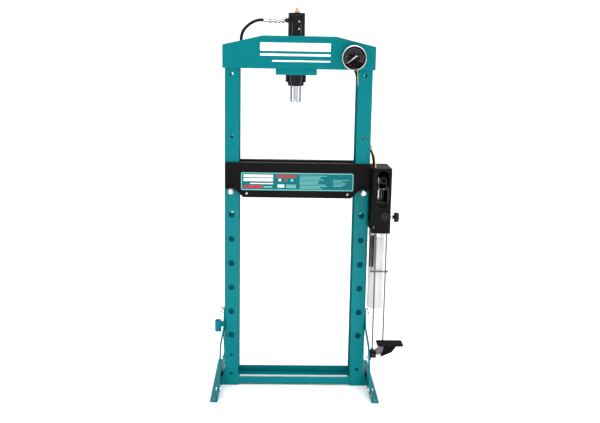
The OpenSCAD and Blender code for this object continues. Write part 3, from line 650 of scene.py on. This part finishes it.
def make_cylinder():
    """Barrel, cap, gland and the small fittings on them."""
    outer = [(BARREL_R - 1, 1350)] + thread(BARREL_R, 1351, 1380, 2.2, 0.7)
    outer += [(BARREL_R, 1382), (BARREL_R, 1428)] + thread(BARREL_R, 1429, 1475, 2.2, 0.7)
    outer += [(BARREL_R, 1477), (BARREL_R, 1622), (BARREL_R - 1.2, 1624.9)]
    on_ram_axis("barrel", outer + [(28, 1624.9), (28, 1350)], "oxide", loop=True, steps=72,
                node="cylinder_barrel")
    on_ram_axis("top_cap", [(27.9, 1616), (27.9, 1625), (BARREL_R - 1.4, 1625),
                            (BARREL_R - 0.2, 1626.4), (BARREL_R, 1628), (BARREL_R, 1634),
                            (BARREL_R - 0.8, 1636.2), (BARREL_R - 3, 1637), (31, 1637),
                            (30.4, 1636.2), (29, 1636.2), (28.4, 1637), (12, 1637)], "oxide",
                steps=72, node="cylinder_cap")
    on_ram_axis("gland", [(24.6, 1336), (26.4, 1334.2), (33.6, 1334), (35, 1335.4), (35, 1349.9),
                          (27.9, 1350), (27.9, 1375), (24.6, 1375)], "oxide", loop=True,
                steps=64, node="rod_gland")
    on_ram_axis("wiper_lip", [(24.6, 1332.6), (25.6, 1332.8), (26.6, 1334.6), (24.6, 1335.6)],
                "seal", loop=True, steps=64, slot="seal_rubber")
    nipple = ((RAM_X + 1.5) * MM, 0, 0)
    work = bmesh.new()
    hexagon(work, 10, 1637, 1644, "Z", nipple)
    lathe(work, [(4.95, 1628), (4.95, 1637)], "Z", nipple, 32)
    lathe(work, [(8.2, 1644), (8.2, 1645), (7.2, 1646.5), (6.4, 1650.8), (5.2, 1651.6),
                 (4.2, 1652.2), (4.2, 1653.6), (5.2, 1654.4), (5.2, 1657.4), (4.4, 1658.9),
                 (2.6, 1659.9)], "Z", nipple, 32)
    add_piece("bleed_nipple", work, "copper_cap", "air_nipple")
    work = bmesh.new()
    for z in (1570, 1600):
        lathe(work, [(4.2, -33.9), (4.2, -37), (3.6, -37.7), (2, -37.7), (1.8, -36.6)], "Y",
              ((RAM_X + 10) * MM, 0, z * MM), 24)
    add_piece("barrel_screws", work, "zinc", "bleed_screws")


def make_coupler():
    """Adapter, both halves of the coupler and the hose's two crimped ends."""
    x1, _, z1, x2, _, z2 = box_mm("port_adapter")
    axis = (0, 0, (z1 + z2) / 2 * MM)
    cone = shifted([(5.6, 0), (6.6, 0.6), (8.2, 4), (10.6, 11), (11, 12.6), (10.8, 13.7),
                    (5.9, 13.7)], x1)
    turned("port_cone", cone + [(5.9, x2)], "oxide_x", "X", axis, node="port_adapter")
    x1, _, _, x2, _, _ = box_mm("coupler_plug")
    work = bmesh.new()
    hexagon(work, 11, x1 + 7, x2, "X", axis)
    lathe(work, shifted([(8.2, 0), (9, 0.8), (9, 2.6), (7.8, 3.2), (7.8, 4.8), (9, 5.4), (9, 7)],
                        x1), "X", axis)
    add_piece("plug_half", work, "zinc_x", "coupler_plug")
    x1, _, _, x2, _, _ = box_mm("coupler_body")
    teeth = 36

    def grip(angle, height):
        inside = x2 - 19 < height < x2 - 5
        return 1 - 0.035 * (round(angle / TAU * 2 * teeth) % 2) if inside else 1
    work = bmesh.new()
    lathe(work, shifted([(9.8, -25), (12.1, -24.4), (12.5, -23.4), (12.5, -19.6), (12.3, -18.9),
                         (12.5, -18.2), (12.5, -5.8), (12.3, -5.1), (12.5, -4.4), (12.5, -1.2),
                         (11.4, 0)], x2), "X", axis, 2 * teeth, ripple=grip)
    lathe(work, shifted([(9.5, 12), (9.5, 14), (8.8, 14.6), (8.8, 17.4), (9.5, 18), (9.5, 22)],
                        x1), "X", axis)
    hexagon(work, 11.5, x1, x1 + 12, "X", axis)
    add_piece("socket_half", work, "zinc_x", "coupler_body")
    start = HOSE_ROUTE[0][0]
    end = HOSE_ROUTE[-1]
    work = bmesh.new()
    crimps = [(6.7, 0), (8.3, 0.7), (8.5, 1.6)]
    for k in range(4):
        crimps += [(8.5, 3 + 5 * k), (7.7, 4 + 5 * k), (7.7, 6 + 5 * k), (8.5, 7 + 5 * k)]
    lathe(work, shifted(crimps + [(8.4, 23.7)], start), "X", axis)
    foot = (end[0] * MM, end[1] * MM, 0)
    hexagon(work, 8.5, 850, 861, "Z", foot)
    upper = [(r - 0.5, 905 - h) for r, h in reversed(crimps)]
    lathe(work, [(6, 861), (6, 870), (8, 871)] + upper, "Z", foot)
    add_piece("hose_ends", work, "zinc_x", "hose_ferrules")


def coil(x, y, low, high, radius, turns, per_turn):
    """Points in mm of a helix about a vertical axis."""
    steps = turns * per_turn
    return [Vector((x + radius * math.cos(TAU * k / per_turn),
                    y + radius * math.sin(TAU * k / per_turn),
                    low + (high - low) * k / steps)) for k in range(steps + 1)]


def hook(x, y, z, start, way, steps):
    """Points in mm round part of a spring's end loop. It starts at a share of a turn, and way
    is 1 or -1."""
    angles = [TAU * (start + way * k / 20) for k in range(steps)]
    return [Vector((x, y + 5.5 * math.sin(a), z - 5.5 * math.cos(a))) for a in angles]


def make_spring(name, node, route, wire):
    """A spring of round wire along a route in mm, standing for a CAD node and put on no body."""
    work = bmesh.new()
    sweep(work, [p * MM for p in route], wire, 8)
    piece = add_piece(name, work, "wire", node, sharp=60, bends=True)
    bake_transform(piece)


def make_springs():
    """The ram's return spring and the pedal's, as coils."""
    make_spring("ram_spring_coil", "return_spring", coil(RAM_X, 0, 1304, 1615, 9.6, 62, 16), 1.3)
    x1, y1, bottom, x2, y2, top = box_mm("pull_spring")
    x, y = (x1 + x2) / 2, (y1 + y2) / 2
    rise = [Vector((x, y, 557)), Vector((x + 3, y, 562)), Vector((x + 7, y, 565))]
    fall = [Vector((x + 7, y, 704.5)), Vector((x + 3, y, 708)), Vector((x, y, 714))]
    lower = hook(x, y, bottom + 6.75, 0.62, -1, 19)
    route = (lower + rise + coil(x, y, 566, 703, 9.7, 42, 20) + fall
             + hook(x, y, top - 6.75, 0.08, 1, 18))
    make_spring("pedal_spring_coil", "pull_spring", route, 1.25)


# ---------- gauge ----------

# Degrees from zero to full, and of zero itself from the right; the scale's highest number
GAUGE_SWEEP = 248
GAUGE_ZERO = 219.5
GAUGE_FULL = 25


def make_gauge():
    """Case, bezel, dial with its scales and numbers, pointer and glass."""
    x1, front, z1, x2, _, z2 = box_mm("gauge_bezel")
    gx, gz = (x1 + x2) / 2, (z1 + z2) / 2
    centre = (gx * MM, 0, gz * MM)
    rim = (x2 - x1) / 2
    ring = [(47.1, 3), (47.2, 1.4), (48, 0.4), (rim - 2.4, 0.2), (rim - 0.8, 1.6),
            (rim - 0.1, 3.6), (rim, 5.5), (rim, 12.4), (rim - 0.7, 13.8), (47.1, 14)]
    turned("gauge_ring", shifted(ring, front), "chrome", "Y", centre, 96, True,
           node="gauge_bezel")
    seal = [(43.8, 4.5), (43.8, 3), (44.6, 2.2), (46.2, 2), (47.2, 2.2), (47.2, 4.5)]
    turned("gauge_seal", shifted(seal, front), "seal", "Y", centre, 96, True, slot="seal_rubber")
    case = [(44.6, 5), (47, 5), (47, 33.6), (46.4, 35.4), (44.4, 36.4), (6.2, 36.4), (6.2, 33.5),
            (44.6, 33.5)]
    turned("gauge_body", shifted(case, front), "chrome", "Y", centre, 96, True, node="gauge_case")
    glass = [(44.3, 6), (44.3, 4.4), (40, 3.5), (32, 2.7), (20, 2.1), (8, 1.8), (0.05, 1.8)]
    turned("gauge_glass", shifted(glass, front), "lens", "Y", centre, 96, node="gauge_lens")
    face = front + 19.5
    turned("gauge_face", [(44.4, face), (44.4, face + 1.2), (1.8, face + 1.2), (1.8, face)],
           "dial", "Y", centre, 96, True, node="gauge_dial")

    def at(radius, value):
        """The place on the dial at a radius and a value on the scale."""
        a = math.radians(GAUGE_ZERO - GAUGE_SWEEP * value / GAUGE_FULL)
        return gx + radius * math.cos(a), gz + radius * math.sin(a)

    def band(work, radius, width, v1, v2, steps):
        outline = [at(radius, v1 + (v2 - v1) * k / steps) for k in range(steps + 1)]
        outline += [at(radius - width, v2 + (v1 - v2) * k / steps) for k in range(steps + 1)]
        plate(work, outline, face - 0.2, face - 0.01)

    def tick(work, r1, r2, value, width):
        a, b = Vector(at(r1, value)), Vector(at(r2, value))
        side = (b - a).normalized().orthogonal() * width / 2
        plate(work, [a + side, b + side, b - side, a - side], face - 0.2, face - 0.01)
    grey, red = bmesh.new(), bmesh.new()
    band(grey, 38.6, 1.1, 0, GAUGE_FULL, 60)
    band(grey, 29.6, 1.4, 0, GAUGE_FULL, 60)
    band(red, 41.6, 1.8, 20, GAUGE_FULL, 20)
    band(red, 36, 2.6, -1.6, -3.2, 8)
    band(red, 41, 2, -4.4, -6.4, 8)
    for value in range(GAUGE_FULL * 2 + 1):
        long = value % 10 == 0
        tick(grey, 38, 32 if long else 35, value / 2, 1.6 if long else 0.7)
        if value % 5 == 0:
            tick(red, 29.6, 27.6, value / 2, 0.6)
    for value in range(0, GAUGE_FULL + 1, 5):
        text = bpy.data.curves.new("number", "FONT")
        text.body = str(value)
        text.size = 8.5 * MM
        text.extrude = 0.1 * MM
        text.align_x = "CENTER"
        text.align_y = "CENTER"
        holder = new_object("number", text)
        bpy.context.view_layer.update()
        mesh = bpy.data.meshes.new_from_object(holder)
        x, z = at(22, value)
        mesh.transform(Matrix.Translation((x * MM, (face - 0.12) * MM, z * MM))
                       @ Matrix.Rotation(TAU / 4, 4, "X"))
        grey.from_mesh(mesh)
        bpy.data.objects.remove(holder)
    add_piece("dial_scale", grey, "mark", slot="dial_face")
    add_piece("dial_red_scale", red, "red_mark", slot="dial_face")
    work = bmesh.new()
    a = math.radians(GAUGE_ZERO)
    along, across = Vector((math.cos(a), math.sin(a))), Vector((-math.sin(a), math.cos(a)))
    middle = Vector((gx, gz))
    outline = [middle + along * s + across * w for s, w in (
        (36, 0.5), (0, 1.9), (-8, 1.5), (-8, -1.5), (0, -1.9), (36, -0.5))]
    plate(work, outline, face - 4.4, face - 3.6)
    tail = middle - along * 11
    lathe(work, [(4, face - 3.6), (4, face - 4.4), (3.4, face - 4.9)], "Y",
          (tail.x * MM, 0, tail.y * MM), 32)
    lathe(work, [(3, face - 2), (3, face - 4.8), (2.4, face - 5.4)], "Y", centre, 32)
    lathe(work, [(1.5, face + 6), (1.5, face - 3)], "Y", centre, 20)
    add_piece("gauge_pointer", work, "needle", "gauge_needle")
    work = bmesh.new()
    lathe(work, thread(6, -65.5, -50.5, 1.3, 0.5), "Y", centre, 32)
    hexagon(work, 11, -59.5, -50.5, "Y", centre)
    lathe(work, [(5.4, -50.5), (5.4, -46)], "Y", centre, 32)
    hexagon(work, 6, -46, -40, "Y", centre)
    add_piece("gauge_union", work, "brass", "gauge_fitting")


# ---------- bed ----------

def make_bed_plate():
    """The plate on the bed's front: plain colour fields with no lettering."""
    x1, front, z1, x2, _, z2 = box_mm("name_plate")
    work = bmesh.new()
    plate(work, rounded_box(x1, z1, x2, z2, 7), front, front + 1.2)
    round_edges(add_piece("bed_plate", work, "label", "name_plate"), 0.3)
    mint, white, red = bmesh.new(), bmesh.new(), bmesh.new()

    def field(work, a1, b1, a2, b2):
        """A field between two corners measured from the plate's lower left one."""
        outline = rounded_box(x1 + a1, z1 + b1, x1 + a2, z1 + b2, 0.8)
        plate(work, outline, front - 0.2, front - 0.01)
    outer = rounded_box(x1 + 1.5, z1 + 1.5, x2 - 1.5, z2 - 1.5, 6)
    inner = rounded_box(x1 + 4.5, z1 + 4.5, x2 - 4.5, z2 - 4.5, 3.5)
    corners = ((outer, 0.2), (inner, 0.2), (inner, 0.01), (outer, 0.01))
    join_rings(mint, [ring_of(mint, [(x, front - depth, z) for x, z in shape])
                      for shape, depth in corners], loop=True)
    field(white, 12, 40, 138, 52)
    field(white, 12, 57, 138, 68)
    field(white, 40, 28, 138, 32)
    field(red, 12, 10, 92, 21)
    field(mint, 98, 13, 134, 18)
    field(red, 154, 58, 236, 68)
    for k, colour in enumerate((white, red, mint)):
        field(colour, 162 + 26 * k, 41, 172 + 26 * k, 51)
    field(white, 158, 14, 186, 26)
    for row in range(3):
        field(mint, 194, 12 + 5.6 * row, 236, 15 + 5.6 * row)
    generator = random.Random(7)
    for row in range(11):
        z = 9 + 5.5 * row
        field(mint, 252, z, 330 + 60 * generator.random(), z + 2)
        if 1 < row < 8:
            field(mint, 396, z, 430 + 42 * generator.random(), z + 1.6)
    for name, work, material in (("plate_border", mint, "mint"), ("plate_white", white, "white"),
                                 ("plate_red", red, "label_red")):
        add_piece(name, work, material, body="bed", slot="label_plate")


def make_pins():
    """The two pins under the bed, turned bars with chamfered ends."""
    for side, node in ((-1, "left_bed_pin"), (1, "right_bed_pin")):
        _, start, z1, _, end, z2 = box_mm(node)
        turned(node + "_bar", [(9.5, start), (12.4, start + 2.6), (13, start + 4),
                               (13, end - 4), (12.4, end - 2.6), (9.5, end)], "zinc_y", "Y",
               (side * PIN_X * MM, 0, (z1 + z2) / 2 * MM), 64, node=node)


# ---------- pump and pedal ----------

def upright_axis(node):
    """A point on the upright axis of a round CAD node, at floor height."""
    low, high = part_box(node)
    return ((low.x + high.x) / 2, (low.y + high.y) / 2, 0)


def make_pump():
    """The pieces of the pump that are turned or moulded: the release knob, the housing's
    plug and screw, and the oil bottle."""
    centre = (0, -90 * MM, 783 * MM)
    x2 = box_mm("release_knob")[3]
    lobes = 5

    def lobe(angle, height):
        return 1 + 0.2 * math.cos(lobes * angle) if height > x2 - 20.5 else 1
    work = bmesh.new()
    lathe(work, shifted([(7, -28), (8, -27), (8, -21)], x2), "X", centre, 40)
    lathe(work, shifted([(14, -20), (17, -19), (18.2, -16.6), (18.2, -3.4), (17, -0.9), (14, 0),
                         (9.4, 0), (8.6, -1.2), (7, -1.4)], x2), "X", centre, 80, ripple=lobe)
    add_piece("release_handwheel", work, "plastic", "release_knob", sharp=50)
    turned("release_stem", thread(4.9, 376, x2 - 34, 1.5, 0.4) + [(4.8, x2 - 33), (4.8, x2 - 26)],
           "zinc_x", "X", centre, 32, body="knob", slot="zinc_plate")
    turned("housing_plug", [(7.9, -143), (7.9, -150), (18.4, -150), (19.6, -150.8),
                            (19.8, -152.2), (18.8, -153.6), (16.6, -154), (15, -153),
                            (14.2, -151.6), (9.6, -151.4), (8.8, -153), (7.6, -153.6)],
           "plastic", "Y", (373 * MM, 0, 797 * MM), 56, node="front_plug")
    work = bmesh.new()
    hexagon(work, 3.6, -150, -152.4, "Y", (325 * MM, 0, 749 * MM))
    add_piece("housing_screw", work, "wire", slot="zinc_plate")
    centre = upright_axis("reservoir")
    shell = [(0.05, 373.4), (12, 373), (20, 371), (24, 370.1), (28.5, 371), (32, 374.4),
             (33.8, 380)]
    for z in (452, 536, 620):
        shell += [(33.8, z), (34, z + 1), (34, z + 3), (33.8, z + 4)]
    shell += [(33.8, 700), (33.4, 708), (31.6, 714), (29.6, 717), (29.6, 744.6)]
    inner = [(max(0.05, r - 2.4), z + (2.4 if z < 376 else 0)) for r, z in reversed(shell)]
    turned("oil_bottle", shell + inner, "bottle", "Z", centre, 72, True, node="reservoir")
    ribs = 48

    def ribbed(angle, height):
        return 1 - 0.03 * (round(angle / TAU * 2 * ribs) % 2) if 698 < height < 714 else 1
    turned("bottle_collar", [(34.1, 695.8), (34.9, 696), (35.1, 697), (35.1, 714.4), (34.6, 716),
                             (29.8, 716.4), (29.8, 713.4), (32, 711), (34.1, 706)], "zinc", "Z",
           centre, 2 * ribs, True, ribbed, slot="bottle_plastic")


def make_rods():
    """The pull rod with its eyes and cross pin, and the fixed tie rod with its nuts."""
    x, y = 388, -104
    _, _, z1, _, _, z2 = box_mm("pull_rod")
    eye_z = z1 + 10
    top_z = z2 - 8.5
    work = bmesh.new()
    axis = (x * MM, y * MM, 0)
    lathe(work, [(4.6, eye_z + 8.6), (4.4, eye_z + 12), (3.25, eye_z + 18), (3.25, 535),
                 (4.2, 536), (4.2, 552), (3.25, 553), (3.25, top_z - 17), (4, top_z - 12),
                 (4, top_z - 7.4)], "Z", axis, 28)
    lathe(work, shifted([(6.8, -3.4), (7.4, -4), (9.2, -4), (10, -3), (10, 3), (9.2, 4), (7.4, 4),
                         (6.8, 3.4)], y), "Y", ((x + 0.39) * MM, 0, eye_z * MM), 40, loop=True)
    lathe(work, shifted([(5.8, -2.5), (6.3, -3), (7.8, -3), (8.5, -2.2), (8.5, 2.2), (7.8, 3),
                         (6.3, 3), (5.8, 2.5)], x), "X", (0, (y + 0.5) * MM, top_z * MM), 40,
          loop=True)
    cross = (0, y * MM, 544 * MM)
    lathe(work, [(2.4, 321), (3, 321.6), (3, 400.4), (2.4, 401)], "X", cross, 24)
    hexagon(work, 5.4, 393, 398, "X", cross)
    add_piece("pull_rod_bar", work, "rod", "pull_rod")
    centre = upright_axis("tie_rod")
    _, _, z1, _, _, z2 = box_mm("tie_rod")
    work = bmesh.new()
    lathe(work, thread(3.25, z1, z1 + 24, 1.25, 0.4) + [(3.25, z1 + 25), (3.25, z2 - 25)]
          + thread(3.25, z2 - 24, z2, 1.25, 0.4), "Z", centre, 28)
    hexagon(work, 6.4, z1, z1 + 5.5, "Z", centre)
    hexagon(work, 6.4, z2 - 5.5, z2, "Z", centre)
    add_piece("tie_rod_bar", work, "rod", "tie_rod")


def make_pedal():
    """The pedal's pad: a moulded tread on a plate, over its side gusset."""
    x1, y1, _, x2, y2, top = box_mm("pedal_pad")
    outline = rounded_box(x1, y1, x2, y2, 7)
    work = bmesh.new()
    levels = [(0.97, top - 7), (1, top - 5.6), (1, top - 2.6), (0.985, top - 1.5)]
    cx, cy = (x1 + x2) / 2, (y1 + y2) / 2
    join_rings(work, [ring_of(work, [(cx + (x - cx) * k, cy + (y - cy) * k, z)
                                     for x, y in outline]) for k, z in levels])
    round_edges(add_piece("pedal_tread", work, "tread", "pedal_pad"), 0.6)
    work = bmesh.new()
    pitch = 8.6
    count = int((x2 - x1 - 16) / pitch)
    for k in range(count + 1):
        x = cx + (k - count / 2) * pitch
        slab(work, (x - 2.1, y1 + 7, top - 2), (x + 2.1, y2 - 7, top))
    round_edges(add_piece("pedal_ribs", work, "tread", body="pedal", slot="black_paint"), 0.7)
    work = bmesh.new()
    plate(work, [(394, 232), (449, 232), (446, 216), (425, 187), (376, 165), (376, 172),
                 (386, 190)], -135, -129)
    round_edges(add_piece("pedal_gusset", work, "tread", body="pedal", slot="black_paint"), 1.0)


# ---------- nodes that keep their CAD shape ----------

# Each with its material and how many mm its edges are rounded by
DRESSED = {
    "header_front_plate": ("teal", 0.8), "header_rear_plate": ("teal", 0.8),
    "cylinder_block": ("teal", 1.4), "base_bars": ("teal", 1.0), "left_foot": ("teal", 1.0),
    "right_foot": ("teal", 1.0), "front_braces": ("teal", 0.9), "rear_braces": ("teal", 0.9),
    "handle_holder": ("teal", 0.6), "lower_lock_ring": ("oxide", 1.0),
    "upper_lock_ring": ("oxide", 1.0), "piston": ("ground", 0.5), "piston_seal": ("seal", 0.3),
    "ram_rod": ("ground", 0.5), "ram_head": ("ground", 0.7), "front_bed_beam": ("black", 1.2),
    "rear_bed_beam": ("black", 1.2), "bed_spacers": ("black", 0.3),
    "pump_housing": ("black", 1.3), "pump_bracket": ("black", 0.6), "pump_block": ("cast", 1.5),
    "lever_plates": ("oxide_x", 0.5), "handle_socket": ("oxide_x", 0.6),
    # The pump plunger is ground steel, given the dark blackened-steel finish as painted shade
    # inside the housing
    "pivot_pins": ("oxide_x", 0.4), "pump_plunger": ("oxide", 0.6),
    "pedal_bracket": ("black", 0.6), "pedal_arm": ("grey", 0.8),
}


def dressed(node, material, width):
    """A copy of a CAD node with edges rounded by width in mm, standing for the node."""
    work = bmesh.new()
    work.from_mesh(frame["nodes"][node].data)
    bmesh.ops.remove_doubles(work, verts=work.verts, dist=0.01 * MM)
    bmesh.ops.dissolve_limit(work, angle_limit=math.radians(0.5), verts=work.verts,
                             edges=work.edges, use_dissolve_boundaries=False)
    round_edges(add_piece(node + "_skin", work, material, node), width)


def bare_zone(piece_name, material, inside):
    """Gives the faces whose centre and normal, in mm, pass the test a second material."""
    mesh = bpy.data.objects[piece_name].data
    mesh.materials.append(M[material])
    for face in mesh.polygons:
        if inside(face.center / MM, face.normal):
            face.material_index = len(mesh.materials) - 1


def make_dressed():
    """The dressed nodes. The lever's cross pin is bare metal. The lever's upward faces on its
    left and the front face of the block's left ear are bright metal as painted highlights."""
    for node, (material, width) in DRESSED.items():
        dressed(node, material, width)
    bare_zone("lever_plates_skin", "machined",
              lambda at, normal: 890 < at.z < 906 and abs(at.y + 75) < 6)
    # Painted highlight: the lever's upward faces above 940 mm and left of x 350 get bright turned
    # zinc
    bare_zone("lever_plates_skin", "zinc_x",
              lambda at, normal: at.z > 940 and at.x < 350 and normal.z > 0.3)
    # Painted highlight: the front faces of the block's left ear get bright machined metal; the
    # right ear stays cast
    bare_zone("pump_block_skin", "machined",
              lambda at, normal: at.z > 852 and at.x < 360 and normal.y < -0.5)


# ---------- floor and light ----------

WORLD_BEHIND = 1.3
WORLD_FRONT = 0.72
WORLD_SIDE = 0.4
WORLD_ABOVE = 1.7
# Each light's name, place, width, height and power
LIGHTS = (
    ("top", (0.3, -0.4, 4.4), 3.0, 3.0, 50),
    ("front", (0.3, -2.6, 0.1), 2.2, 0.6, 46),
    ("left", (-2.6, -1.3, 1.2), 0.4, 2.2, 20),
    ("right", (2.6, -1.3, 1.2), 0.4, 2.2, 24),
)


def make_world():
    """A white surround, brightest above, dimmer in front of the press and dimmer still to its
    left and right, so that bright metal shows its shape."""
    world = bpy.data.worlds.new("studio")
    world.use_nodes = True
    tree = world.node_tree
    way = add_node(tree, "TexCoord", {})
    split = add_node(tree, "SeparateXYZ", {})
    tree.links.new(way.outputs["Generated"], split.inputs["Vector"])

    def fade(source, start, end, values):
        """A smooth change between two strengths as source goes from start to end."""
        node = add_node(tree, "MapRange", {"From Min": start, "From Max": end, **values})
        node.interpolation_type = "SMOOTHSTEP"
        tree.links.new(source, node.inputs["Value"])
        return node
    size = add_node(tree, "Math", {})
    size.operation = "ABSOLUTE"
    tree.links.new(split.outputs["X"], size.inputs[0])
    depth = fade(split.outputs["Y"], -0.5, 0.5, {"To Min": WORLD_FRONT, "To Max": WORLD_BEHIND})
    sideways = fade(size.outputs["Value"], 0.5, 0.85, {"To Max": WORLD_SIDE})
    tree.links.new(depth.outputs["Result"], sideways.inputs["To Min"])
    upward = fade(split.outputs["Z"], 0.4, 0.75, {"To Max": WORLD_ABOVE})
    tree.links.new(sideways.outputs["Result"], upward.inputs["To Min"])
    backing = tree.nodes["Background"]
    backing.inputs["Color"].default_value = (1, 1, 1, 1)
    tree.links.new(upward.outputs["Result"], backing.inputs["Strength"])
    bpy.context.scene.world = world
    bpy.context.scene.view_settings.view_transform = "Standard"


def make_studio():
    """A pale floor and soft lights overhead, in front and upright at either side."""
    reach = 30
    mesh = bpy.data.meshes.new("floor")
    mesh.from_pydata([(-reach, -reach, 0), (reach, -reach, 0), (reach, reach, 0),
                      (-reach, reach, 0)], [], [(0, 1, 2, 3)])
    mesh.materials.append(surface("floor_paper", rgb(248, 248, 248), 0.85, bump=0.02, vary=0.005,
                                  shine=0.1))
    new_object("floor", mesh)
    for name, place, wide, high, power in LIGHTS:
        data = bpy.data.lights.new(name, "AREA")
        data.shape = "RECTANGLE"
        data.size = wide
        data.size_y = high
        data.energy = power
        light = new_object(name, data)
        light.location = place
        aim = Vector((0, 0, 0.5)) - Vector(place)
        light.rotation_euler = aim.to_track_quat("-Z", "Y").to_euler()
        light.visible_camera = False


make_camera()
make_hose()
make_line()
make_column("left_column", -1, (1381, 1117, 142, 55), False)
make_column("right_column", 1, (1381, 1117, 77), True)
make_welds()
make_stripes()
make_bolts()
make_cylinder()
make_coupler()
make_springs()
make_gauge()
make_bed_plate()
make_pins()
make_pump()
make_rods()
make_pedal()
make_dressed()
make_world()
make_studio()
